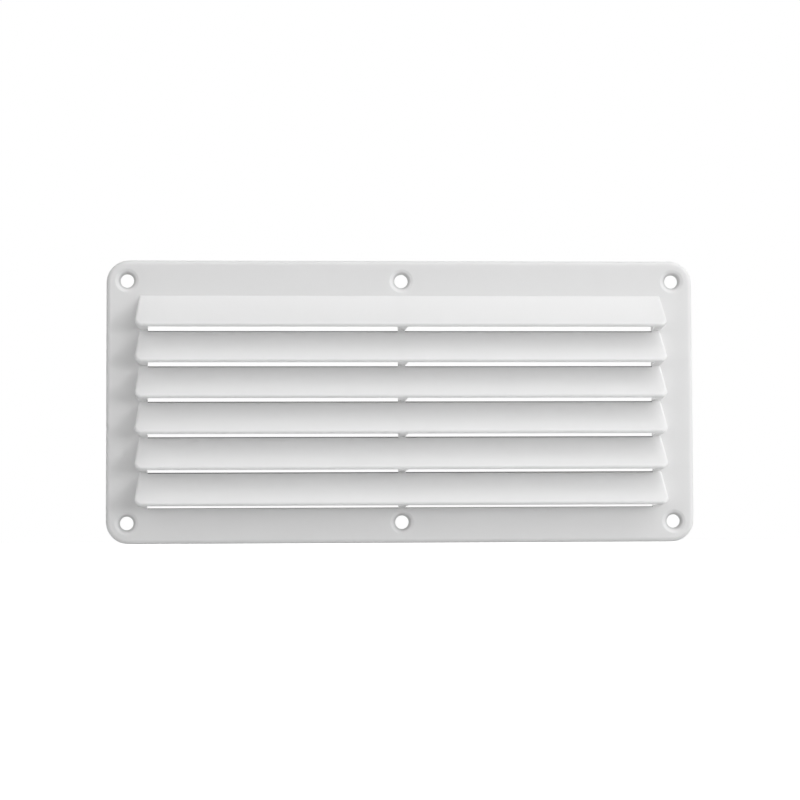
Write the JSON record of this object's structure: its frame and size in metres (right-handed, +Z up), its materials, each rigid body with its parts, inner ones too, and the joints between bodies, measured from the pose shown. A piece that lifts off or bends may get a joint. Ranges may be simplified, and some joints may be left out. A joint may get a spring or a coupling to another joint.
{
  "type": "air inlet vent",
  "caption": "White plastic louvred vent plate: sloping hooded slats over narrow slots, rounded corners and countersunk screw holes, for an air inlet in a wall or panel.",
  "frame": {"origin": "centre of the flange's back face, which lies against the wall", "axes": "+X along the flange's width, +Y into the wall, +Z up; the louvres face -Y"},
  "size_m": [0.26, 0.0154, 0.125],
  "materials": {
    "white_plastic": "satin"
  },
  "bodies": {
    "root": {"louvre_vent": "white_plastic"}
  },
  "joints": []
}
